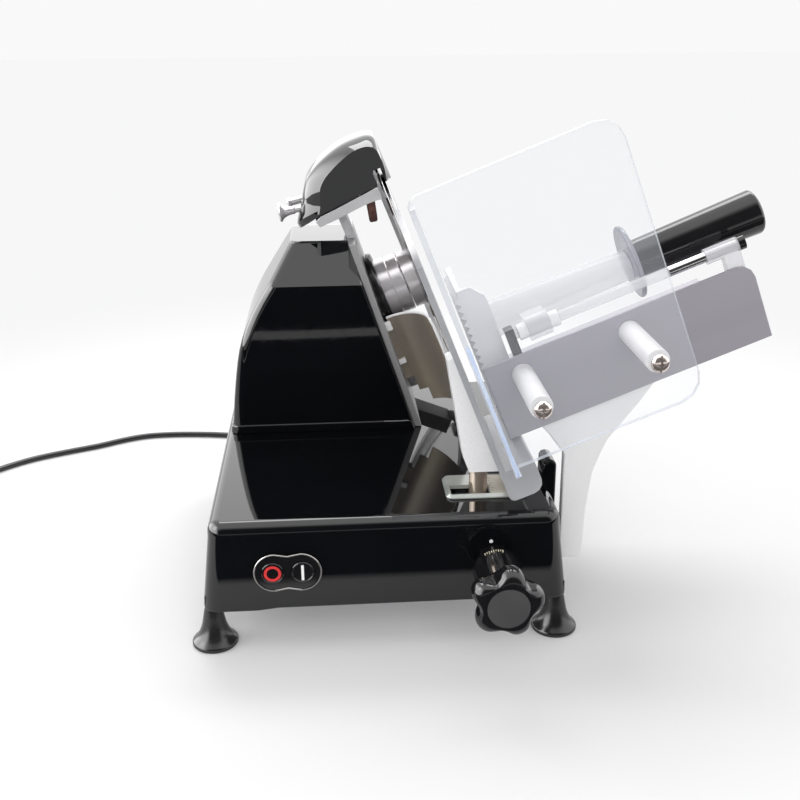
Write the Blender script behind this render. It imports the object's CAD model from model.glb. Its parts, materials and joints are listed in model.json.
import json
import math

import bmesh
import bpy
from mathutils import Matrix, Vector, kdtree

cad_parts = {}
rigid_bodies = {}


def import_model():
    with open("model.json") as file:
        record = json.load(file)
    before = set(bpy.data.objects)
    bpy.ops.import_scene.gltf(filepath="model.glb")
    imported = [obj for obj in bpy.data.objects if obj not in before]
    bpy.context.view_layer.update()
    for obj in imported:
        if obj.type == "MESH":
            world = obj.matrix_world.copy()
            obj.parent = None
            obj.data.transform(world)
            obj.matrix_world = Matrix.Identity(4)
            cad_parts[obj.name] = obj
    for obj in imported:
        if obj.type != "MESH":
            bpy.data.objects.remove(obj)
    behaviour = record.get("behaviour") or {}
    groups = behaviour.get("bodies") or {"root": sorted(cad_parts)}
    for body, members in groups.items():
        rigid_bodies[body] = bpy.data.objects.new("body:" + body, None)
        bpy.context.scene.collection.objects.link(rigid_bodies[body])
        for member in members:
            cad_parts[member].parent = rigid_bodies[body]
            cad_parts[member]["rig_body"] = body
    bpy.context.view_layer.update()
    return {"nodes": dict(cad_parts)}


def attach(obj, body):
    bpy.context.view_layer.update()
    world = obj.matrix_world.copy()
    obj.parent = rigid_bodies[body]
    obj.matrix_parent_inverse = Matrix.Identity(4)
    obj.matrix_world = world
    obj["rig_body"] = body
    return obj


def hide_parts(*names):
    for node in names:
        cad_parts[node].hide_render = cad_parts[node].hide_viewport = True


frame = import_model()
nodes = frame["nodes"]

# The machine's own zero, and the frame of the tilted blade, both in millimetres
mm = 0.001
origin = Vector((-0.08292984, -0.136, 0))
tilt = math.radians(21.5)
upright = Matrix.Translation(origin) @ Matrix.Scale(mm, 4)
tilted = upright @ Matrix.Rotation(-tilt, 4, "Y")
whole = 2 * math.pi

camera = {"lens": 47.13, "at": (-0.1231, -0.9292, 0.51541), "pitch": 0.35619, "yaw": 0.067898, "roll": -0.0080683}


def makeCamera():
    data = bpy.data.cameras.new("camera")
    data.lens = camera["lens"]
    data.sensor_width = 36
    data.clip_start, data.clip_end = 0.05, 50
    look = bpy.data.objects.new("camera", data)
    bpy.context.scene.collection.objects.link(look)
    pitch, yaw, roll = camera["pitch"], camera["yaw"], camera["roll"]
    ahead = Vector((math.sin(yaw) * math.cos(pitch), math.cos(yaw) * math.cos(pitch), -math.sin(pitch)))
    level = Vector((math.cos(yaw), -math.sin(yaw), 0))
    over = level.cross(ahead)
    right = level * math.cos(roll) + over * math.sin(roll)
    up = over * math.cos(roll) - level * math.sin(roll)
    turn = Matrix((right, up, -ahead)).transposed().to_4x4()
    look.matrix_world = Matrix.Translation(camera["at"]) @ turn
    bpy.context.scene.camera = look


makeCamera()
print("camera made")


# Each finish: two colours, a range of roughness, the sizes of its cloud and its grain, and its relief
finishes = {
    "blackEnamel": {
        "light": (0.0042, 0.0046, 0.0056), "dark": (0.003, 0.0033, 0.0042), "rough": (0.02, 0.05), "broad": 9,
        "fine": 160, "bump": 0.01, "depth": 0.0002, "ior": 1.52, "swell": (7, 0.0006),
    },
    "castAluminium": {
        "light": (0.6, 0.6, 0.615), "dark": (0.5, 0.5, 0.515), "rough": (0.34, 0.44), "metal": 0.4, "broad": 22,
        "fine": 900, "bump": 0.05, "depth": 0.0002,
    },
    "framePolish": {
        "light": (0.44, 0.435, 0.44), "dark": (0.3, 0.295, 0.3), "rough": (0.3, 0.4), "metal": 0.4, "broad": 7,
        "fine": 700, "stretch": (1, 1, 0.2), "bump": 0.03, "depth": 0.0001,
    },
    "anodisedFace": {
        "light": (0.41, 0.39, 0.43), "dark": (0.34, 0.325, 0.365), "rough": (0.34, 0.44), "metal": 0.3,
        "broad": 10, "fine": 900, "stretch": (0.08, 1, 1), "bump": 0.03, "depth": 0.0001,
    },
    "polishedSteel": {
        "light": (0.72, 0.71, 0.71), "dark": (0.62, 0.61, 0.61), "rough": (0.09, 0.16), "metal": 1, "broad": 30,
        "fine": 900, "stretch": (1, 0.05, 0.05), "bump": 0.02, "depth": 0.0001,
    },
    "warmSteel": {
        "light": (0.36, 0.31, 0.225), "dark": (0.2, 0.175, 0.165), "rough": (0.3, 0.4), "metal": 0.35, "broad": 14,
        "fine": 700, "stretch": (1, 1, 0.35), "bump": 0.02, "depth": 0.0001,
    },
    "coverSteel": {
        "light": (0.42, 0.42, 0.43), "dark": (0.35, 0.35, 0.36), "rough": (0.2, 0.28), "metal": 1, "broad": 14,
        "fine": 500, "stretch": (1, 0.05, 1), "bump": 0.01, "depth": 0.0001,
    },
    "brushedSteel": {
        "light": (0.78, 0.755, 0.775), "dark": (0.72, 0.7, 0.72), "rough": (0.26, 0.27), "metal": 0.6, "broad": 12,
        "fine": 40, "bump": 0, "depth": 0.0001,
    },
    "paleTray": {
        "light": (0.5, 0.52, 0.49), "dark": (0.3, 0.32, 0.3), "rough": (0.12, 0.22), "metal": 0.2, "broad": 30,
        "fine": 600, "stretch": (0.4, 1, 1), "bump": 0.02, "depth": 0.0001,
    },
    "creamPlate": {
        "light": (0.7, 0.66, 0.58), "dark": (0.6, 0.56, 0.48), "rough": (0.3, 0.4), "broad": 60, "fine": 600,
        "bump": 0.02, "depth": 0.0001,
    },
    "bronzedChrome": {
        "light": (0.7, 0.6, 0.5), "dark": (0.36, 0.28, 0.22), "rough": (0.08, 0.14), "metal": 0.7, "broad": 120,
        "fine": 700, "stretch": (1, 1, 0.04), "bump": 0.01, "depth": 0.0001, "turn": 0,
    },
    "nickel": {
        "light": (0.86, 0.76, 0.71), "dark": (0.6, 0.52, 0.48), "rough": (0.08, 0.14), "metal": 0.85, "broad": 60,
        "fine": 900, "bump": 0.02, "depth": 0.0001,
    },
    "satinSteel": {
        "light": (0.52, 0.5, 0.48), "dark": (0.4, 0.385, 0.37), "rough": (0.28, 0.4), "metal": 1, "broad": 14,
        "fine": 800, "stretch": (1, 0.05, 0.05), "bump": 0.05, "depth": 0.0001,
    },
    "greyMetal": {
        "light": (0.4, 0.4, 0.42), "dark": (0.3, 0.3, 0.31), "rough": (0.4, 0.55), "metal": 0.9, "broad": 20,
        "fine": 600, "bump": 0.08, "depth": 0.0002,
    },
    "whiteEnamel": {
        "light": (0.86, 0.86, 0.865), "dark": (0.82, 0.82, 0.825), "rough": (0.26, 0.34), "broad": 12, "fine": 500,
        "bump": 0.008, "depth": 0.0002, "ior": 1.5,
    },
    "whitePlastic": {
        "light": (0.87, 0.865, 0.87), "dark": (0.81, 0.805, 0.815), "rough": (0.28, 0.38), "broad": 30, "fine": 700,
        "bump": 0.015, "depth": 0.0002, "ior": 1.5,
    },
    "glossBlackPlastic": {
        "light": (0.011, 0.011, 0.012), "dark": (0.007, 0.007, 0.008), "rough": (0.05, 0.1), "broad": 25,
        "fine": 500, "bump": 0.012, "depth": 0.0002, "ior": 1.5,
    },
    "blackPlastic": {
        "light": (0.02, 0.02, 0.021), "dark": (0.013, 0.013, 0.014), "rough": (0.3, 0.42), "broad": 25,
        "fine": 900, "bump": 0.08, "depth": 0.0002, "ior": 1.48,
    },
    "blackRubber": {
        "light": (0.016, 0.016, 0.017), "dark": (0.01, 0.01, 0.011), "rough": (0.16, 0.28), "broad": 30,
        "fine": 1100, "bump": 0.06, "depth": 0.0002, "ior": 1.5,
    },
    "abrasiveStone": {
        "light": (0.16, 0.075, 0.06), "dark": (0.07, 0.033, 0.028), "rough": (0.8, 0.95), "broad": 260,
        "fine": 1600, "bump": 0.6, "depth": 0.0004,
    },
    "frostedLip": {
        "light": (0.72, 0.73, 0.76), "dark": (0.64, 0.65, 0.68), "rough": (0.16, 0.24), "broad": 30, "fine": 400,
        "bump": 0.01, "depth": 0.0001, "alpha": 0.5,
    },
    "knobDisc": {
        "light": (0.068, 0.068, 0.07), "dark": (0.055, 0.055, 0.057), "rough": (0.3, 0.4), "broad": 40,
        "fine": 900, "bump": 0.04, "depth": 0.0001, "ior": 1.5,
    },
    "scaleMark": {
        "light": (0.85, 0.8, 0.6), "dark": (0.75, 0.68, 0.45), "rough": (0.35, 0.45), "broad": 60, "fine": 900,
        "bump": 0.02, "depth": 0.0001,
    },
    "redMark": {
        "light": (0.72, 0.03, 0.03), "dark": (0.6, 0.02, 0.02), "rough": (0.35, 0.45), "broad": 60, "fine": 900,
        "bump": 0.02, "depth": 0.0001,
    },
    "whiteMark": {
        "light": (0.86, 0.86, 0.85), "dark": (0.8, 0.8, 0.79), "rough": (0.35, 0.45), "broad": 60, "fine": 900,
        "bump": 0.02, "depth": 0.0001,
    },
    "clearAcrylic": {
        "light": (0.74, 0.77, 0.83), "dark": (0.7, 0.73, 0.79), "rough": (0.03, 0.06), "broad": 8, "fine": 200,
        "bump": 0.004, "depth": 0.0001, "alpha": 0.1, "ior": 1.45,
    },
    "acrylicEdge": {
        "light": (0.74, 0.78, 0.84), "dark": (0.62, 0.66, 0.73), "rough": (0.1, 0.16), "broad": 24, "fine": 300,
        "bump": 0.005, "depth": 0.0003, "alpha": 0.6, "ior": 1.49,
    },
    "acrylicSpine": {
        "light": (0.8, 0.88, 1.0), "dark": (0.42, 0.58, 0.92), "rough": (0.1, 0.2), "broad": 60, "fine": 300,
        "bump": 0.1, "depth": 0.0003, "alpha": 0.55, "ior": 1.49, "stretch": (1, 1, 0.3),
    },
    "paleAcrylic": {
        "light": (0.88, 0.88, 0.9), "dark": (0.74, 0.74, 0.78), "rough": (0.12, 0.22), "broad": 16, "fine": 300,
        "bump": 0.02, "depth": 0.0002, "alpha": 0.8, "ior": 1.49, "stretch": (0.15, 1, 1),
    },
    "smokedEdge": {
        "light": (0.3, 0.31, 0.35), "dark": (0.2, 0.21, 0.25), "rough": (0.08, 0.16), "broad": 20, "fine": 300,
        "bump": 0.01, "depth": 0.0002, "alpha": 0.85, "ior": 1.49,
    },
    "clearArm": {
        "light": (0.85, 0.85, 0.87), "dark": (0.7, 0.7, 0.74), "rough": (0.1, 0.2), "broad": 16, "fine": 300,
        "bump": 0.02, "depth": 0.0002, "alpha": 0.42, "ior": 1.49, "stretch": (0.15, 1, 1),
    },
    "smokedAcrylic": {
        "light": (0.2, 0.21, 0.27), "dark": (0.15, 0.16, 0.21), "rough": (0.06, 0.12), "broad": 12, "fine": 300,
        "bump": 0.01, "depth": 0.0001, "alpha": 0.78, "ior": 1.49,
    },
}


# The part of a noise's range that is in use
cloud = (0.3, 0.7)


def feed(tree, source, socket):
    if isinstance(source, (int, float)):
        socket.default_value = source
    else:
        tree.links.new(source, socket)


def noise(tree, vector, scale, detail=3.0):
    node = tree.nodes.new("ShaderNodeTexNoise")
    node.inputs["Scale"].default_value = scale
    node.inputs["Detail"].default_value = detail
    tree.links.new(vector, node.inputs["Vector"])
    return node.outputs["Fac"]


def mapped(tree, value, near, far, low=0, high=1, kind="LINEAR"):
    node = tree.nodes.new("ShaderNodeMapRange")
    node.interpolation_type = kind
    for key, setting in {"From Min": near, "From Max": far, "To Min": low, "To Max": high}.items():
        node.inputs[key].default_value = setting
    tree.links.new(value, node.inputs["Value"])
    return node.outputs["Result"]


def combined(tree, operation, *sources, clamp=False):
    node = tree.nodes.new("ShaderNodeMath")
    node.operation = operation
    node.use_clamp = clamp
    for source, socket in zip(sources, node.inputs):
        feed(tree, source, socket)
    return node.outputs["Value"]


def relief(tree, height, strength, depth, under=None):
    node = tree.nodes.new("ShaderNodeBump")
    node.inputs["Strength"].default_value = strength
    node.inputs["Distance"].default_value = depth
    tree.links.new(height, node.inputs["Height"])
    if under:
        tree.links.new(under, node.inputs["Normal"])
    return node.outputs["Normal"]


def makeFinish(name, look):
    material = bpy.data.materials.new(name)
    material.use_nodes = True
    tree = material.node_tree
    shader = tree.nodes["Principled BSDF"]
    shader.inputs["Metallic"].default_value = look.get("metal", 0)
    shader.inputs["IOR"].default_value = look.get("ior", 1.5)
    shader.inputs["Alpha"].default_value = look.get("alpha", 1)
    place = tree.nodes.new("ShaderNodeTexCoord")
    mapping = tree.nodes.new("ShaderNodeMapping")
    mapping.vector_type = "TEXTURE"
    mapping.inputs["Scale"].default_value = [1 / share for share in look.get("stretch", (1, 1, 1))]
    mapping.inputs["Rotation"].default_value = (0, look.get("turn", -tilt), 0)
    tree.links.new(place.outputs["Object"], mapping.inputs["Vector"])
    broad = noise(tree, mapping.outputs["Vector"], look["broad"])
    fine = noise(tree, mapping.outputs["Vector"], look["fine"], 2.0)
    colours = tree.nodes.new("ShaderNodeValToRGB")
    colours.color_ramp.elements[0].position = cloud[0]
    colours.color_ramp.elements[0].color = (*look["dark"], 1)
    colours.color_ramp.elements[1].position = cloud[1]
    colours.color_ramp.elements[1].color = (*look["light"], 1)
    tree.links.new(broad, colours.inputs["Fac"])
    tree.links.new(colours.outputs["Color"], shader.inputs["Base Color"])
    tree.links.new(mapped(tree, fine, *cloud, *look["rough"]), shader.inputs["Roughness"])
    under = None
    if "swell" in look:
        size, depth = look["swell"]
        under = relief(tree, noise(tree, place.outputs["Object"], size, 1.0), 0.5, depth)
    tree.links.new(relief(tree, fine, look["bump"], look["depth"], under), shader.inputs["Normal"])
    return material


finish = {name: makeFinish(name, look) for name, look in finishes.items()}
print("finishes made")


def clearSelection():
    bpy.ops.object.select_all(action="DESELECT")


def activate(piece):
    clearSelection()
    piece.select_set(True)
    bpy.context.view_layer.objects.active = piece


def applied(piece, kind, **settings):
    modifier = piece.modifiers.new(kind.lower(), kind)
    for key, value in settings.items():
        setattr(modifier, key, value)
    activate(piece)
    bpy.ops.object.modifier_apply(modifier=modifier.name)
    return piece


def roundEdges(piece, width, segments=3, angle=30):
    return applied(
        piece, "BEVEL", width=width * mm, segments=segments, limit_method="ANGLE",
        angle_limit=math.radians(angle), use_clamp_overlap=True,
    )


def smooth(piece, angle=32):
    activate(piece)
    bpy.ops.object.shade_smooth_by_angle(angle=math.radians(angle))
    return applied(piece, "WEIGHTED_NORMAL", keep_sharp=True)


def cutBy(piece, *tools):
    for tool in tools:
        applied(piece, "BOOLEAN", object=tool, operation="DIFFERENCE", solver="EXACT")
        bpy.data.objects.remove(tool)
    return piece


def joinedTo(piece, *others):
    for other in others:
        applied(piece, "BOOLEAN", object=other, operation="UNION", solver="EXACT")
        bpy.data.objects.remove(other)
    return piece


# An outline's (u, v) and a place along the axis, as a point of the frame
alongAxis = {
    "x": lambda u, v, w: Vector((w, u, v)),
    "y": lambda u, v, w: Vector((u, w, v)),
    "z": lambda u, v, w: Vector((u, v, w)),
}


def roundedOutline(corners, steps=8):
    points = []
    for i, (x, y, *rest) in enumerate(corners):
        corner = Vector((x, y))
        radius = rest[0] if rest else 0
        if not radius:
            points.append(corner)
            continue
        toBefore = (Vector(corners[i - 1][:2]) - corner).normalized()
        toAfter = (Vector(corners[(i + 1) % len(corners)][:2]) - corner).normalized()
        half = math.acos(max(-1, min(1, toBefore.dot(toAfter)))) / 2
        centre = corner + (toBefore + toAfter).normalized() * radius / math.sin(half)
        start = corner + toBefore * radius / math.tan(half) - centre
        end = corner + toAfter * radius / math.tan(half) - centre
        sweep = math.atan2(start.x * end.y - start.y * end.x, start.dot(end))
        for step in range(steps + 1):
            points.append(Matrix.Rotation(sweep * step / steps, 2) @ start + centre)
    return points


# A shape drawn through rings of points: the first ring is a filled circle moved onto its places,
# and each next one is extruded from the ring before it
def drawn(name, rings, place):
    clearSelection()
    bpy.ops.mesh.primitive_circle_add(vertices=len(rings[0]), radius=1, fill_type="NGON")
    piece = bpy.context.object
    piece.name = piece.data.name = name
    for vertex, point in zip(piece.data.vertices, rings[0]):
        vertex.co = point
    bpy.ops.object.mode_set(mode="EDIT")
    bpy.ops.mesh.select_all(action="SELECT")
    for before, ring in zip(rings, rings[1:]):
        bpy.ops.mesh.extrude_region_move()
        tree = kdtree.KDTree(len(before))
        for i, point in enumerate(before):
            tree.insert(point, i)
        tree.balance()
        edit = bmesh.from_edit_mesh(piece.data)
        for vertex in edit.verts:
            if vertex.select:
                vertex.co = ring[tree.find(vertex.co)[1]]
        bmesh.update_edit_mesh(piece.data)
    bpy.ops.mesh.select_all(action="SELECT")
    bpy.ops.mesh.normals_make_consistent(inside=False)
    bpy.ops.object.mode_set(mode="OBJECT")
    piece.matrix_world = Matrix()
    piece.data.transform(place)
    return piece


def slab(name, axis, outline, start, end, place):
    return drawn(name, [[alongAxis[axis](u, v, w) for u, v in outline] for w in (start, end)], place)


def turned(name, axis, centre, profile, place, count=72):
    rings = []
    for radius, along in profile:
        angles = [whole * i / count for i in range(count)]
        rings.append([
            alongAxis[axis](centre[0] + radius * math.cos(a), centre[1] + radius * math.sin(a), along) for a in angles
        ])
    return drawn(name, rings, place)


def box(name, x, y, z, place):
    outline = [(x[0], y[0]), (x[1], y[0]), (x[1], y[1]), (x[0], y[1])]
    return slab(name, "z", outline, z[0], z[1], place)


def dressed(piece, look, *replaced, body=None):
    piece.data.materials.clear()
    piece.data.materials.append(finish[look])
    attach(piece, body or nodes[replaced[0]]["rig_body"])
    if replaced:
        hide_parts(*replaced)
    return piece


# Gives the faces that the test picks, by centre and normal in the piece's own millimetres, another finish
def paint(piece, look, place, test):
    piece.data.materials.append(finish[look])
    slot = len(piece.data.materials) - 1
    back = place.inverted()
    turn = place.to_3x3().inverted() * mm
    for face in piece.data.polygons:
        if test(back @ face.center, (turn @ face.normal).normalized()):
            face.material_index = slot


def refine(node, name, look, width=0.5, segments=2, angle=32):
    piece = bpy.data.objects.new(name, nodes[node].data.copy())
    bpy.context.scene.collection.objects.link(piece)
    piece.data.name = name
    activate(piece)
    bpy.ops.object.mode_set(mode="EDIT")
    bpy.ops.mesh.select_all(action="SELECT")
    bpy.ops.mesh.remove_doubles(threshold=0.00001)
    bpy.ops.mesh.dissolve_limited(angle_limit=math.radians(0.5))
    bpy.ops.object.mode_set(mode="OBJECT")
    if width:
        roundEdges(piece, width, segments, angle)
    smooth(piece, angle)
    return dressed(piece, look, node)


def camel(node):
    first, *others = node.split("_")
    return first + "".join(word.capitalize() for word in others)


def merged(name, pieces):
    activate(pieces[0])
    for piece in pieces:
        piece.select_set(True)
    bpy.ops.object.join()
    pieces[0].name = pieces[0].data.name = name
    return pieces[0]


def tube(name, points, radius, resolution):
    curve = bpy.data.curves.new(name, "CURVE")
    curve.dimensions = "3D"
    curve.bevel_depth = radius * mm
    curve.bevel_resolution = resolution
    curve.use_fill_caps = True
    spline = curve.splines.new("POLY")
    spline.points.add(len(points) - 1)
    for point, place in zip(spline.points, points):
        point.co = (*place, 1)
        point.radius = 1
    piece = bpy.data.objects.new(name, curve)
    bpy.context.scene.collection.objects.link(piece)
    return piece


# A smooth line of points through the given ones
def smoothLine(points, steps):
    points = [Vector(p) for p in points]
    points = [points[0] * 2 - points[1], *points, points[-1] * 2 - points[-2]]
    line = []
    for a, b, c, d in zip(points, points[1:], points[2:], points[3:]):
        t1 = (b - a).length ** 0.5
        t2 = t1 + (c - b).length ** 0.5
        t3 = t2 + (d - c).length ** 0.5
        for i in range(steps):
            t = t1 + (t2 - t1) * i / steps
            ab, bc, cd = a.lerp(b, t / t1), b.lerp(c, (t - t1) / (t2 - t1)), c.lerp(d, (t - t2) / (t3 - t2))
            abc, bcd = ab.lerp(bc, t / t2), bc.lerp(cd, (t - t1) / (t3 - t1))
            line.append(abc.lerp(bcd, (t - t1) / (t2 - t1)))
    return line + [points[-2]]


# The blade's axis in the tilted frame
bladeAxis = (235, 229)


# All that lies left of the frame plate
def frameSide():
    corners = [(-160, 100), (56.1, 100), (-20.45, 329), (-160, 329)]
    return slab("frameSide", "y", corners, 170, 330, upright)


cord = {"radius": 3.5, "length": 1.828}
route = [
    (-110, 356.6, 60), (-110, 372, 58.5), (-111.5, 391, 51), (-115, 408, 37), (-120, 424, 21), (-127, 440, 9),
    (-138, 453.5, 4.2), (-156, 464, 3.6), (-182, 471, 3.6), (-212, 476, 3.6), (-245, 478.6, 3.6), (-279, 476.5, 3.6),
    (-305, 467, 3.6), (-336, 449, 3.6), (-373, 432, 3.6), (-409, 413, 3.6), (-441, 386, 3.6),
]
coil = {
    "x": -511, "y": 387, "z": 4.7, "outer": 51, "inner": 29.9, "turns": 2.41, "rise": 7.7, "climb": 0.5,
    "start": -46.6, "steps": 30, "straight": 7, "near": 14.6, "gap": 0.3,
}


def coilPoint(turn):
    rate = (coil["outer"] - coil["inner"]) / coil["turns"]
    climb = min(1, max(0, (turn - coil["turns"]) / coil["climb"]))
    radius = coil["outer"] - rate * min(turn, coil["turns"]) + rate * max(0, turn - coil["turns"] - coil["climb"])
    angle = math.radians(coil["start"]) - whole * turn
    height = coil["z"] + coil["rise"] * (1 - math.cos(math.pi * climb)) / 2
    return Vector((coil["x"] + radius * math.cos(angle), coil["y"] + radius * math.sin(angle), height))


def makeCord():
    whorls = 2 * coil["turns"] + coil["climb"]
    count = round(whorls * coil["steps"])
    turns = [coilPoint(whorls * i / count) for i in range(count + 1)]
    level = Vector((1, 1, 0))
    entry = turns[0] + ((turns[0] - turns[1]) * level).normalized() * coil["straight"]
    last = turns[-1] + ((turns[-1] - turns[-2]) * level).normalized() * coil["straight"]
    heading = (turns[0] - entry).normalized()
    lead = smoothLine([*route, entry - heading * coil["near"], entry - heading * coil["gap"]], 5)
    line = lead + [entry, *turns, last]
    piece = tube("mainsLead", [upright @ point for point in line], cord["radius"], 5)
    return dressed(piece, "blackRubber", "power_cord", "cord_coil")


mainsLead = makeCord()
plug = refine("mains_plug", "mainsPlug", "blackPlastic", 1.5, 3)
tie = refine("cord_tie", "cordTie", "blackPlastic", 0.3)
print("cord made")


base = {
    "halfWidth": 156, "topHalfWidth": 148, "front": -20, "back": 322, "bottom": 41, "top": 122, "wall": 4,
    "corner": 14, "edgeRound": 10, "shoulder": 14, "footX": 149, "footRows": (0, 302),
}


def baseOutline(z, inset):
    share = min(1, (z - base["bottom"]) / (base["top"] - base["shoulder"] - base["bottom"]))
    half = base["halfWidth"] + (base["topHalfWidth"] - base["halfWidth"]) * share - inset
    radius = max(base["corner"] - inset, base["corner"] / 4)
    front, back = base["front"] + inset, base["back"] - inset
    corners = [(-half, front, radius), (half, front, radius), (half, back, radius), (-half, back, radius)]
    return [Vector((u, v, z)) for u, v in roundedOutline(corners, 9)]


def makeBase():
    steps = 12
    rings = []
    for step in range(steps + 1):
        angle = math.radians(90 - 90 * step / steps)
        inset = base["edgeRound"] * (1 - math.cos(angle))
        rings.append(baseOutline(base["top"] - base["edgeRound"] * (1 - math.sin(angle)), inset))
    for z in (base["top"] - base["shoulder"], 74, base["bottom"] + 2, base["bottom"]):
        rings.append(baseOutline(z, 0.8 if z == base["bottom"] else 0))
    wall = base["wall"]
    rings += [baseOutline(base["bottom"], wall), baseOutline(base["top"] - wall, wall)]
    shell = drawn("baseCasting", rings, upright)
    fairing = slab(
        "fairing", "y", roundedOutline([(143, 64.5), (157, 64.5), (157, 139, 6), (145.5, 139, 5)]),
        50, 78, upright,
    )
    roundEdges(fairing, 2.5, 4, 50)
    lug = box("lug", (28, 34), (14, 36), (92, 120), upright)
    pads = []
    for x in (-1, 1):
        for y in base["footRows"]:
            pads.append(box("pad", sorted((x * 134, x * 154)), (y - 13, y + 13), (41, 53), upright))
    joinedTo(shell, fairing, lug, *pads)
    arch = roundedOutline([(-124, 39), (124, 39), (92, 43.4, 24), (-92, 43.4, 24)], 8)
    cuts = [
        slab("arch", "y", arch, -22, 324, upright),
        box("towerWindow", (-123, 32), (189, 303), (116, 124), upright),
        box("postSlot", (58.5, 91.5), (16, 34), (116, 124), upright),
        box("armSlot", (140, 158), (34, 242), (39, 64), upright),
        box("buttonWindow", (-105.5, -59.5), (-22, -14), (67.5, 88.5), upright),
        turned("knobHole", "y", (90, 82), [(6, -22), (6, -14)], upright, 32),
        turned("reliefHole", "y", (-110, 60), [(5.8, 316), (5.8, 324)], upright, 32),
        turned("barHole", "x", (25, 104), [(5.3, 28.3), (5.3, 36)], upright, 24),
    ]
    cutBy(shell, *cuts)
    roundEdges(shell, 0.8, 2, 50)
    dressed(smooth(shell, 40), "blackEnamel", "base_casting")


makeBase()
print("base made")


feet = {
    "profile": [
        (17, 0), (19.2, 0.4), (19.8, 1.2), (19.8, 3.4), (18.9, 4.8), (16.4, 7), (14, 10.4), (12.1, 14.6),
        (10.5, 19.4), (9.5, 24.6), (8.7, 29), (8, 32.4), (7.4, 34.8), (7, 36.4), (7, 40.7),
    ],
    "names": ("foot_front_left", "foot_front_right", "foot_rear_left", "foot_rear_right"),
}


def makeFeet():
    first = smooth(turned("foot", "z", (0, 0), feet["profile"], Matrix.Scale(mm, 4), 56), 45)
    for i, node in enumerate(feet["names"]):
        x, y = (-1, 1)[i % 2] * base["footX"], base["footRows"][i // 2]
        piece = bpy.data.objects.new(camel(node), first.data.copy())
        bpy.context.scene.collection.objects.link(piece)
        piece.data.transform(Matrix.Translation(origin + Vector((x, y, 0)) * mm))
        dressed(piece, "blackRubber", node)
    bpy.data.objects.remove(first)


makeFeet()
print("feet made")


tower = {
    "front": 180, "back": 312, "wall": 3, "corner": 9, "rightCorner": 2, "left": -141, "right": 41, "foot": 122.3,
    "top": 304.99, "lean": 30, "crease": 0.81, "band": 7, "step": 1.6,
    "bulge": [(0, 0), (0.24, 0.07), (0.48, 0.19), (0.66, 0.4), (0.81, 0.66), (1, 1)],
    "leftLean": 62.9, "rightLean": 0.3346,
}


def towerOutline(share, inset=0, lift=0, out=0):
    line = smoothLine([(*pair, 0) for pair in tower["bulge"]], 12)
    near = next((i for i, p in enumerate(line) if p.x >= share), len(line) - 1)
    before = line[max(0, near - 1)]
    part = (share - before.x) / max(1e-6, line[near].x - before.x)
    bulge = before.y + (line[near].y - before.y) * part
    z = tower["foot"] + (tower["top"] - tower["foot"]) * share
    left = tower["left"] + tower["leftLean"] * bulge + inset - out
    right = tower["right"] - tower["rightLean"] * (z - tower["foot"]) - inset
    lean = max(0, (share - tower["crease"]) / (1 - tower["crease"]))
    front = tower["front"] + tower["lean"] * lean + inset - out
    back = tower["back"] - tower["lean"] / 2 * lean - inset + out
    radius, small = tower["corner"] - inset, max(0.5, tower["rightCorner"] - inset / 4)
    corners = [(left, front, radius), (right, front, small), (right, back, small), (left, back, radius)]
    return [Vector((u, v, z + lift)) for u, v in roundedOutline(corners, 7)]


def makeTower():
    rings = [towerOutline(1, 4.5, 2), towerOutline(1, 2, 2), towerOutline(1, 0.7, 1.5), towerOutline(1, 0, 0)]
    rings += [towerOutline(share) for share in (0.96, 0.92, 0.87, 0.83, 0.81, 0.79)]
    rings += [towerOutline(0.79 * (12 - i) / 12) for i in range(1, 12)]
    height = tower["top"] - tower["foot"]
    rings.append(towerOutline((tower["band"] + tower["step"]) / height))
    rings.append(towerOutline((tower["band"] + 0.9) / height, 0, 0, tower["step"] * 0.75))
    rings.append(towerOutline(tower["band"] / height, 0, 0, tower["step"]))
    rings.append(towerOutline(0.5 / height, 0, 0, tower["step"]))
    rings.append(towerOutline(0, 0, 0, tower["step"] - 0.4))
    rings.append(towerOutline(0, tower["wall"]))
    rings += [towerOutline(share, tower["wall"]) for share in (0.24, 0.48, 0.66, 0.81)]
    rings.append(towerOutline(1, tower["wall"], -tower["wall"]))
    shell = drawn("motorHousing", rings, upright)
    cutBy(shell, turned("hubHole", "x", bladeAxis, [(33.5, 67), (33.5, 129)], tilted, 56))
    dressed(smooth(shell, 24), "blackEnamel", "motor_housing")


makeTower()
print("tower made")


hood = {
    "front": 190, "back": 280, "wall": 2.5, "centre": (112, 336, 0),
    "turn": [(0, 0), (1, 0.05), (4, 0.22), (9, 0.48), (15, 0.74), (20, 0.9), (27, 1)],
    "middle": [
        (54.6, 322.8), (54.4, 326.8), (63.2, 339.4), (72.3, 353.4), (79.1, 362.2), (91.4, 370.1), (105.5, 375.7),
        (121.7, 379.6), (136.4, 380), (148, 378.4), (153.4, 374.4), (154, 366.5), (154.4, 350.5), (154.5, 334),
    ],
    "face": [
        (78.7, 330.4), (81.2, 334.4), (83.9, 339.4), (88.6, 351.4), (96.4, 358.9), (106, 364), (117.9, 368.7),
        (129.8, 372), (138.7, 372.3), (145.6, 370.6), (150.6, 365.9), (151.9, 358), (151.8, 347.3), (149.6, 336.4),
    ],
}


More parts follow.
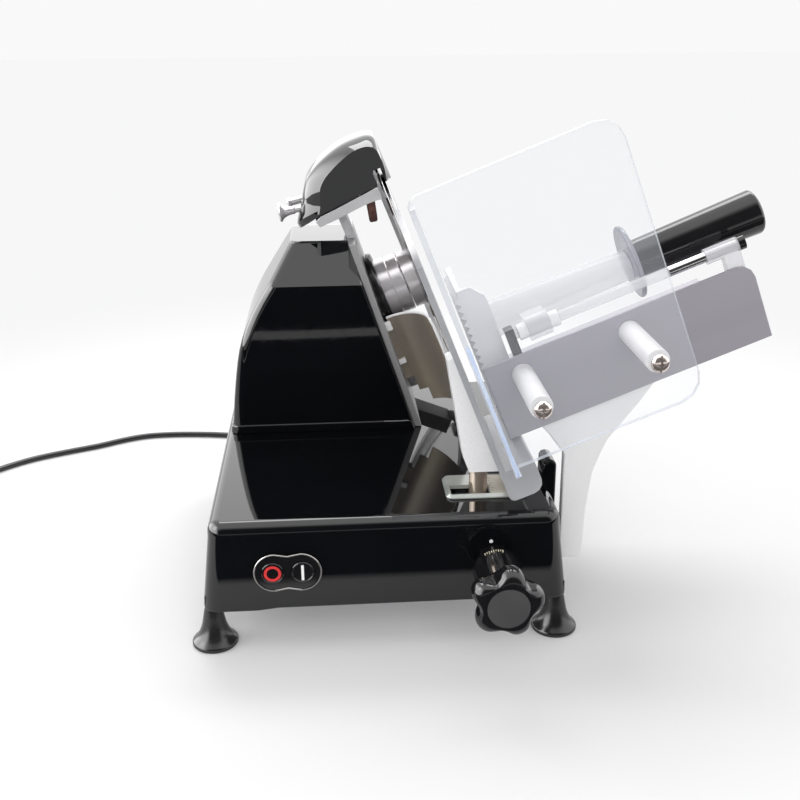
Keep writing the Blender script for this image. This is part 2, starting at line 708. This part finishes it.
def hoodOutline(y, inset=0, drop=0):
    depth = max(0, min(y - hood["front"], hood["back"] - y))
    part = 1
    for (near, low), (far, high) in zip(hood["turn"], hood["turn"][1:]):
        if near <= depth < far:
            part = low + (high - low) * (depth - near) / (far - near)
    face = smoothLine([(*p, 0) for p in hood["face"]], 4)
    middle = smoothLine([(*p, 0) for p in hood["middle"]], 4)
    line = [a.lerp(b, part) for a, b in zip(face, middle)]
    centre = Vector(hood["centre"])
    points = []
    for p in line:
        away = (p - centre).normalized() * inset
        points.append(Vector((p.x - away.x, y, p.y - max(0, away.y))))
    points.append(Vector((points[-1].x, y, points[-1].z - 1 - drop)))
    points.append(Vector((points[0].x, y, points[0].z - 1 - drop)))
    return points


def makeHood():
    near = [hood["front"] + depth for depth in (0, 0.4, 1, 2.4, 4, 6.4, 9, 12, 15, 17.6, 20, 23, 27)]
    far = [hood["front"] + hood["back"] - y for y in reversed(near)]
    shell = drawn("sharpenerHood", [hoodOutline(y) for y in near + far], tilted)
    inside = [192.5, 197, 204, 212, 258, 266, 273, 277.5]
    hollow = drawn("hollow", [hoodOutline(y, hood["wall"], 60) for y in inside], tilted)
    slot = turned("bladeSlot", "x", bladeAxis, [(128, 139.5), (128, 148)], tilted, 96)
    holes = []
    for unit in plungers.values():
        holes.append(turned("hole", "x", (0, 0), [(4, -9), (4, unit["reach"] + 2)], unit["place"], 24))
    cutBy(shell, hollow, slot, *holes)
    dressed(smooth(shell, 34), "blackEnamel", "sharpener_hood")


def plungerPlace(x, y, slope):
    return tilted @ Matrix.Translation((x, y, 341)) @ Matrix.Rotation(math.radians(slope), 4, "Y")


plungers = {
    "grinding": {"cap": 9.5, "reach": 87.24, "width": 8, "place": plungerPlace(47, 222, 13)},
    "honing": {"cap": 5, "reach": 77.76, "width": 6, "place": plungerPlace(55, 260.5, 8)},
}
capShares = [
    (0.6, -6), (0.86, -5.8), (0.97, -5.1), (1, -4.2), (0.95, -3.2), (0.8, -2.2), (0.66, -0.8), (0.56, 1),
    (0.48, 3.2), (0.43, 6), (0.41, 9.5),
]


def makePlunger(kind, unit):
    end = unit["reach"] - unit["width"]
    small = unit["cap"] < 8
    profile = [(max(3.6 if small else 0, unit["cap"] * share), along) for share, along in capShares]
    profile += [(3, 10.4), (3, end - 5), (5, end - 4.4), (5.4, end - 3.6), (5.4, end - 0.3), (3, end - 0.3)]
    profile.append((3, unit["reach"]))
    piece = turned(kind + "Plunger", "x", (0, 0), profile, unit["place"], 48)
    dressed(smooth(piece, 35), "brushedSteel", kind + "_plunger")


for kind, unit in plungers.items():
    makePlunger(kind, unit)
makeHood()
refine("grinding_stone", "grindingStone", "abrasiveStone", 2, 4)
refine("honing_stone", "honingStone", "abrasiveStone", 0.8)


def makeBracket():
    line = [
        (74.9, 319.4), (92.6, 319.9), (110.8, 321.6), (122.5, 322.4), (133.7, 322.2), (139.2, 321.2), (139.2, 333.6),
        (128, 332.2), (114.4, 331), (96.3, 329.2), (80, 328.2), (73, 325.4),
    ]
    shelf = slab("sharpenerBracket", "y", line, 189.6, 280.4, tilted)
    room = box("room", (108, 142), (196.5, 273.5), (308, 350), tilted)
    cutBy(shelf, room)
    leg = box("leg", (93, 100), (209, 261), (283.5, 322), tilted)
    corners = [(-160, 280), (14, 250), (-15.1, 309.29), (-160, 309.29)]
    cutBy(leg, slab("frameSide", "y", corners, 180, 320, upright))
    joinedTo(shelf, leg)
    roundEdges(shelf, 1.4, 3, 40)
    dressed(smooth(shelf, 40), "castAluminium", "sharpener_bracket")


makeBracket()
print("sharpener made")


hub = {
    "profile": [
        (29.4, 88), (30.5, 89), (30.5, 116.4), (29.7, 117.2), (29.7, 127.8), (28.9, 129),
    ],
    "seal": [
        (38.6, 60), (39.7, 61), (39.7, 98.4), (38.9, 99.2), (37.6, 99.6), (37.6, 100.6), (38.9, 101), (39.7, 101.8),
        (39.7, 104), (38.8, 105.4), (37, 106),
    ],
    "bore": 17.8,
}


def makeHub():
    shell = turned("hubHousing", "x", bladeAxis, hub["profile"], tilted, 96)
    cutBy(shell, turned("bore", "x", bladeAxis, [(hub["bore"], 80), (hub["bore"], 140)], tilted, 96))
    dressed(smooth(shell, 30), "brushedSteel", "hub_housing")
    seal = turned("hubSeal", "x", bladeAxis, hub["seal"], tilted, 96)
    side = frameSide()
    cutBy(seal, turned("bore", "x", bladeAxis, [(30.8, 50), (30.8, 120)], tilted, 96), side)
    dressed(smooth(seal, 30), "blackRubber", "hub_seal")


makeHub()
print("hub made")


knob = {
    "x": 90, "z": 82, "face": -100, "lobes": 5, "phase": 140, "disc": 17.6, "flutes": 10, "fluteDepth": 1.1,
    "head": [
        (18, -99.2, 0), (19.2, -99.3, 0.01), (21.8, -99.2, 0.08), (24.8, -98.2, 0.16), (27.4, -96.2, 0.22),
        (29, -93.6, 0.26), (29.8, -90.4, 0.28), (30, -87, 0.285), (29.8, -83.8, 0.28), (28.9, -81.2, 0.26),
        (27.2, -79.2, 0.22), (24, -78, 0.12), (20.4, -77.4, 0),
    ],
    "neck": [
        (19.8, -76.5), (19.4, -72), (19.3, -60), (19.5, -46), (19.8, -40), (19.2, -38.6), (13.4, -38), (13.2, -20.3),
    ],
    "ticks": 9, "tickFrom": 78, "tickStep": 5.5, "tickEnd": -41.4,
}


def makeKnob():
    count = 150
    rings = []
    for radius, y in ((knob["disc"] - 0.8, knob["face"]), (knob["disc"], knob["face"] + 0.3), (knob["disc"], -99.2)):
        rings.append([(radius, 0, y, 0)] * count)
    rings += [[(radius, depth, y, 0)] * count for radius, y, depth in knob["head"]]
    for i, (radius, y) in enumerate(knob["neck"]):
        rings.append([(radius, 0, y, knob["fluteDepth"] if 1 <= i <= 3 else 0)] * count)
    placed = []
    for ring in rings:
        points = []
        for i, (radius, depth, y, flute) in enumerate(ring):
            angle = whole * i / count
            valley = (0.5 + 0.5 * math.cos(knob["lobes"] * angle + math.radians(knob["phase"]))) ** 1.4
            groove = 0.5 + 0.5 * math.cos(knob["flutes"] * angle)
            reach = radius * (1 - depth * valley) - flute * groove
            points.append(Vector((knob["x"] + reach * math.cos(angle), y, knob["z"] + reach * math.sin(angle))))
        placed.append(points)
    piece = drawn("thicknessKnob", placed, upright)
    cutBy(piece, turned("bore", "y", (knob["x"], knob["z"]), [(5.3, -60), (5.3, -15)], upright, 32))
    dressed(smooth(piece, 38), "glossBlackPlastic", "thickness_knob")
    paint(piece, "knobDisc", upright, lambda at, normal: at.y < knob["face"] + 0.05 and normal.y < -0.9)
    marks = []
    for i in range(knob["ticks"]):
        angle = math.radians(knob["tickFrom"] + knob["tickStep"] * i)
        long = 2.6 if i % 2 == 0 else 1.6
        mark = box("mark", (18.6, 20.1), (knob["tickEnd"] - long, knob["tickEnd"]), (-0.3, 0.3), Matrix())
        turn = Matrix.Translation((knob["x"], 0, knob["z"])) @ Matrix.Rotation(-angle, 4, "Y")
        mark.data.transform(upright @ turn)
        marks.append(mark)
    dressed(merged("knobScale", marks), "scaleMark", body=nodes["thickness_knob"]["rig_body"])


makeKnob()
print("knob made")


pad = {"x": -82.5, "z": 78, "halfWidth": 28.5, "endRadius": 17.5, "waist": 15.5, "back": -20.3, "front": -22.9}
buttons = {"stop": -95, "start": -70}
symbols = {"outer": 7.2, "inner": 4.9, "half": 1.1, "reach": 7, "face": -23.7, "back": -23.2}


def padOutline(inset):
    points = []
    centre = pad["halfWidth"] - pad["endRadius"]
    for side in (1, -1):
        for i in range(19):
            angle = math.radians(-90 + 10 * i)
            radius = pad["endRadius"] - inset
            across = pad["x"] + side * (centre + radius * math.cos(angle))
            points.append((across, pad["z"] + side * radius * math.sin(angle)))
        points.append((pad["x"], pad["z"] + side * (pad["waist"] - inset)))
    return points


def makeSwitch():
    layers = [(0, pad["back"]), (0, -22.5), (0.4, pad["front"]), (1.2, pad["front"]), (1.5, -22.45), (2.2, -22.4)]
    rings = [[Vector((u, y, v)) for u, v in padOutline(inset)] for inset, y in layers]
    plate = drawn("switchPad", rings, upright)
    holes = [turned("hole", "y", (x, pad["z"]), [(9.8, -26), (9.8, -18)], upright, 48) for x in buttons.values()]
    cutBy(plate, *holes)
    dressed(smooth(plate, 30), "glossBlackPlastic", "switch_pad")
    paint(
        plate, "satinSteel", upright,
        lambda at, normal: abs(at.y - pad["front"]) < 0.4 and outside(at, 1.25),
    )
    for name, x in buttons.items():
        profile = [(8.2, -23.1), (8.6, -23.5), (9.1, -23.4), (9.5, -22.9), (9.5, -14.5)]
        button = turned(name + "Button", "y", (x, pad["z"]), profile, upright, 48)
        dressed(smooth(button, 35), "glossBlackPlastic", name + "_button")
    face, back, middle = symbols["face"], symbols["back"], (buttons["stop"], pad["z"])
    ring = turned("stopMark", "y", middle, [(symbols["outer"], face), (symbols["outer"], back)], upright, 40)
    cutBy(ring, turned("hole", "y", middle, [(symbols["inner"], -24), (symbols["inner"], -22)], upright, 40))
    dressed(ring, "redMark", body=nodes["stop_button"]["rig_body"])
    left, right = buttons["start"] - symbols["half"], buttons["start"] + symbols["half"]
    low, high = pad["z"] - symbols["reach"], pad["z"] + symbols["reach"]
    line = roundedOutline([(left, low), (right, low), (right, high), (left, high)])
    bar = slab("startMark", "y", line, face, back, upright)
    dressed(bar, "whiteMark", body=nodes["start_button"]["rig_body"])
    dot = turned("indexDot", "y", (88, 98.3), [(1.3, -20.25), (1.6, -20.1), (1.6, -19.6)], upright, 24)
    dressed(dot, "whiteMark", body=nodes["base_casting"]["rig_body"])


def outside(at, inset):
    centre = pad["halfWidth"] - pad["endRadius"]
    across = max(0, abs(at.x - pad["x"]) - centre)
    reach = math.hypot(across, at.z - pad["z"]) if across else abs(at.z - pad["z"]) + pad["endRadius"] - pad["waist"]
    return reach > pad["endRadius"] - inset


makeSwitch()
print("switch made")


deflector = {"x": 139, "y": 132, "backX": 98.5, "backY": 196, "bottom": 116, "top": 211, "thickness": 1.5}


def deflectorPoint(share, offset=0):
    reachX = deflector["x"] - deflector["backX"] - offset
    reachY = deflector["backY"] - deflector["y"] - offset
    angle = math.pi / 2 * share
    return deflector["backX"] + reachX * math.cos(angle), deflector["y"] + reachY * math.sin(angle)


def makeDeflector():
    count = 24
    line = [deflectorPoint(i / count) for i in range(count + 1)]
    line += [deflectorPoint(1 - i / count, deflector["thickness"]) for i in range(count + 1)]
    sheet = slab("sliceDeflector", "z", line, deflector["bottom"], deflector["top"], tilted)
    low = box("low", (96, 110.6), (130, 198), (114, 129.3), tilted)
    lower = box("lower", (96, 101.7), (130, 198), (116, 145.9), tilted)
    cutBy(sheet, low, lower)
    tab = box("tab", (89.5, 100), (193, 208), (145.9, 199), tilted)
    cutBy(tab, frameSide())
    joinedTo(sheet, tab)
    roundEdges(sheet, 0.3, 2)
    dressed(smooth(sheet, 35), "warmSteel", "slice_deflector")
    top = deflector["top"] + 0.6
    rim = [(*deflectorPoint(i / count, 0.7), top) for i in range(count, -1, -1)]
    rim += [(139.2, 131.4, top - 6), (139.4, 131.2, 190), (139.4, 131.2, 172)]
    activate(tube("deflectorRim", [tilted @ Vector(spot) for spot in rim], 1.3, 3))
    bpy.ops.object.convert(target="MESH")
    dressed(smooth(bpy.context.object, 50), "whitePlastic", body=nodes["slice_deflector"]["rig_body"])
    clip = box("deflectorClip", (92, 101), (189, 195.8), (199, 208.5), tilted)
    lug = box("lug", (93.6, 100.6), (190, 195.5), (163, 168), tilted)
    roundEdges(clip, 1.6, 3)
    joinedTo(clip, lug)
    dressed(smooth(clip, 40), "whitePlastic", body=nodes["slice_deflector"]["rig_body"])


makeDeflector()
print("deflector made")


looks = {
    "bottom_cover": ("greyMetal", 0.5), "switch_body": ("blackPlastic", 0.8), "blade_frame": ("framePolish", 0.8),
    "shaft_bearing": ("satinSteel", 0.4), "blade_shaft": ("brushedSteel", 0.4), "blade": ("polishedSteel", 0),
    "blade_pulley": ("greyMetal", 0.4), "motor_pulley": ("satinSteel", 0.3), "drive_belt": ("blackRubber", 0.5),
    "motor": ("greyMetal", 0.8), "ring_guard": ("castAluminium", 0.8), "blade_cover": ("coverSteel", 0.5),
    "gauge_plate": ("castAluminium", 1.2), "gauge_arm": ("whiteEnamel", 1.6),
    "gauge_post": ("bronzedChrome", 0.8), "gauge_slide": ("castAluminium", 0.5),
    "gauge_guide_bar": ("polishedSteel", 0.4), "slot_tray": ("paleTray", 0.5), "knob_shaft": ("satinSteel", 0.3),
    "carriage_table": ("anodisedFace", 0.9), "carriage_arm": ("whiteEnamel", 1.6),
    "carriage_slide": ("castAluminium", 0.8), "carriage_rail": ("polishedSteel", 0.5),
    "guard_spacer_left": ("whitePlastic", 0.7), "guard_spacer_right": ("whitePlastic", 0.7),
    "rod_stop": ("glossBlackPlastic", 0.8), "rod_bracket": ("clearArm", 0.5),
    "pusher_bushing": ("whitePlastic", 0.4), "pusher_arm": ("clearArm", 1.6), "pusher_plate": ("paleAcrylic", 0.5),
    "hand_disc": ("smokedAcrylic", 0.8), "pusher_grip": ("glossBlackPlastic", 1.5),
    "strain_relief": ("blackRubber", 0.6),
}
for node, (look, width) in looks.items():
    refine(node, camel(node), look, width, 4 if width > 1 else 2)
rodProfile = [(4.1, 194), (4.5, 194.4), (4.5, 338), (4.5, 397.6), (4.1, 398)]
rod = turned("pusherRod", "x", (42, 200), rodProfile, tilted, 48)
dressed(smooth(rod, 35), "polishedSteel", "pusher_rod")
paint(rod, "clearArm", tilted, lambda at, normal: at.x < 330)
paint(bpy.data.objects["handDisc"], "smokedEdge", tilted, lambda at, normal: abs(normal.x) < 0.8)
paint(bpy.data.objects["rodBracket"], "glossBlackPlastic", tilted, lambda at, normal: at.x > 398.2)


def makeScrew(side, x):
    place = tilted @ Matrix.Translation((x, 0, 167.5)) @ Matrix.Rotation(tilt, 4, "Y")
    profile = [
        (2, -56.9), (4.2, -56.5), (6, -55.7), (7, -54.7), (7.3, -53.8), (7.3, -52.8), (3, -52.8), (3, -36),
    ]
    piece = turned("guardScrew" + side.capitalize(), "y", (0, 0), profile, place, 48)
    cutBy(piece, box("slot", (-0.85, 0.85), (-60, -54.9), (-9, 9), place))
    dressed(smooth(piece, 35), "nickel", "guard_screw_" + side)


for side, x in (("left", 195), ("right", 290.5)):
    makeScrew(side, x)
plateLine = roundedOutline([(92.6, 15.4, 1), (111, 15.4, 1), (111, 52, 1), (92.6, 52, 1)], 3)
scalePlate = slab("trayPlate", "z", plateLine, 125.7, 126.25, upright)
dressed(smooth(scalePlate), "creamPlate", body=nodes["slot_tray"]["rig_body"])
ticks = []
for i in range(6):
    ticks.append(box("tick", (93.6, 95.2 + (i % 2) * 1.4), (20 + 5 * i, 20.7 + 5 * i), (126.2, 126.36), upright))
dressed(merged("trayTicks", ticks), "warmSteel", body=nodes["slot_tray"]["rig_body"])
gauge = bpy.data.objects["gaugePlate"]
paint(gauge, "frostedLip", tilted, lambda at, normal: at.x > 150.7 and at.y < -14.9 and normal.y < -0.95)
paint(
    gauge, "acrylicEdge", tilted,
    lambda at, normal: at.x > 151 and at.y < -13 and -0.95 < normal.y < -0.1,
)
spine = box("guardSpine", (157.4, 160.6), (-52.3, -48.2), (121.6, 236), tilted)
roundEdges(spine, 0.8, 3)
dressed(smooth(spine), "acrylicSpine", body=nodes["hand_guard"]["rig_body"])
guard = refine("hand_guard", "handGuard", "clearAcrylic", 0.6, 2)
paint(
    guard, "acrylicEdge", tilted,
    lambda at, normal: abs(normal.y) < 0.7 if at.y < -47.3 else abs(normal.x) < 0.7,
)
print("nodes refined")


stageFloor = {
    "size": 16, "middle": (0, 4.4, 0), "shift": (0.05, 4.4, 0), "near": 0.45, "far": 1.2, "least": 0.12,
    "front": (-0.272, -0.284), "strip": (-0.7, 0.024), "distant": (-1.05, -1.15),
}


# The floor fades to white away from the part. Mirrored in the part it is dark in front,
# but for a pale strip and the far part
def makeStage():
    clearSelection()
    bpy.ops.mesh.primitive_plane_add(size=stageFloor["size"], location=stageFloor["middle"])
    floor = bpy.context.object
    floor.name = "floor"
    material = bpy.data.materials.new("paleFloor")
    material.use_nodes = True
    tree = material.node_tree
    shader = tree.nodes["Principled BSDF"]
    shader.inputs["Base Color"].default_value = (0.85, 0.845, 0.85, 1)
    shader.inputs["Roughness"].default_value = 0.75
    white = tree.nodes.new("ShaderNodeEmission")
    white.inputs["Color"].default_value = (0.93, 0.93, 0.935, 1)
    dim = tree.nodes.new("ShaderNodeEmission")
    dim.inputs["Color"].default_value = (0.02, 0.021, 0.024, 1)
    place = tree.nodes.new("ShaderNodeTexCoord")
    axes = tree.nodes.new("ShaderNodeSeparateXYZ")
    length = tree.nodes.new("ShaderNodeVectorMath")
    length.operation = "LENGTH"
    shift = tree.nodes.new("ShaderNodeVectorMath")
    shift.operation = "ADD"
    shift.inputs[1].default_value = stageFloor["shift"]
    tree.links.new(place.outputs["Object"], shift.inputs[0])
    tree.links.new(shift.outputs["Vector"], length.inputs[0])
    tree.links.new(shift.outputs["Vector"], axes.inputs["Vector"])
    depth = axes.outputs["Y"]
    away = mapped(
        tree, length.outputs["Value"], stageFloor["near"], stageFloor["far"], stageFloor["least"], kind="SMOOTHSTEP",
    )
    ahead = mapped(tree, depth, *stageFloor["front"])
    strip = combined(tree, "COMPARE", depth, *stageFloor["strip"])
    bright = combined(tree, "ADD", strip, mapped(tree, depth, *stageFloor["distant"]))
    dark = combined(tree, "SUBTRACT", ahead, bright, clamp=True)
    ray = tree.nodes.new("ShaderNodeLightPath")
    mirrored = combined(tree, "MULTIPLY", ray.outputs["Is Glossy Ray"], dark)
    surface = shader.outputs["BSDF"]
    for share, other in ((away, white), (mirrored, dim)):
        mix = tree.nodes.new("ShaderNodeMixShader")
        tree.links.new(share, mix.inputs["Fac"])
        tree.links.new(surface, mix.inputs[1])
        tree.links.new(other.outputs["Emission"], mix.inputs[2])
        surface = mix.outputs["Shader"]
    tree.links.new(surface, tree.nodes["Material Output"].inputs["Surface"])
    floor.data.materials.append(material)


def makeLamp(name, at, aim, size, power):
    data = bpy.data.lights.new(name, "AREA")
    data.shape = "RECTANGLE"
    data.size, data.size_y = size
    data.energy = power
    lamp = bpy.data.objects.new(name, data)
    bpy.context.scene.collection.objects.link(lamp)
    away = Vector(at) - Vector(aim)
    lamp.matrix_world = Matrix.Translation(at) @ away.to_track_quat("Z", "Y").to_matrix().to_4x4()
    return lamp


# The light from the room, what a mirror shows from behind, from ahead and from the left, and the backdrop
studio = {
    "room": 0.62, "behind": 2.2, "ahead": 0.05, "from": -0.8, "to": -0.4, "left": 5, "leftFrom": -0.55,
    "leftTo": -0.8, "backdrop": 0.95,
}


def blended(tree, factor, first, second):
    node = tree.nodes.new("ShaderNodeMix")
    for source, key in ((factor, "Factor"), (first, "A"), (second, "B")):
        feed(tree, source, node.inputs[key])
    return node.outputs["Result"]


def makeWorld():
    world = bpy.data.worlds.new("studio")
    bpy.context.scene.world = world
    world.use_nodes = True
    tree = world.node_tree
    background = tree.nodes["Background"]
    background.inputs["Strength"].default_value = 1
    ray = tree.nodes.new("ShaderNodeLightPath")
    direction = tree.nodes.new("ShaderNodeTexCoord")
    axes = tree.nodes.new("ShaderNodeSeparateXYZ")
    tree.links.new(direction.outputs["Generated"], axes.inputs["Vector"])
    depth = mapped(
        tree, axes.outputs["Y"], studio["from"], studio["to"], studio["ahead"], studio["behind"], "SMOOTHSTEP",
    )
    side = mapped(
        tree, axes.outputs["X"], studio["leftFrom"], studio["leftTo"], 0, studio["left"], "SMOOTHSTEP",
    )
    mirrored = combined(tree, "ADD", depth, side)
    light = blended(tree, ray.outputs["Is Glossy Ray"], studio["room"], mirrored)
    either = combined(tree, "MAXIMUM", ray.outputs["Is Camera Ray"], ray.outputs["Is Transmission Ray"])
    seen = blended(tree, either, light, studio["backdrop"])
    tree.links.new(seen, background.inputs["Color"])


makeStage()
makeWorld()
makeLamp("topBox", (0.1, 0.75, 1.5), (0, 0, 0.15), (1.6, 0.5), 14)
makeLamp("leftBox", (-1.6, -0.4, 1.2), (0, 0, 0.15), (0.8, 1.0), 8)
frontBox = makeLamp("frontBox", (-0.2, -2.2, 1.5), (0, 0, 0.15), (2, 1.4), 22)
frontBox.visible_glossy = False
bpy.context.scene.view_settings.view_transform = "Standard"
print("stage made")
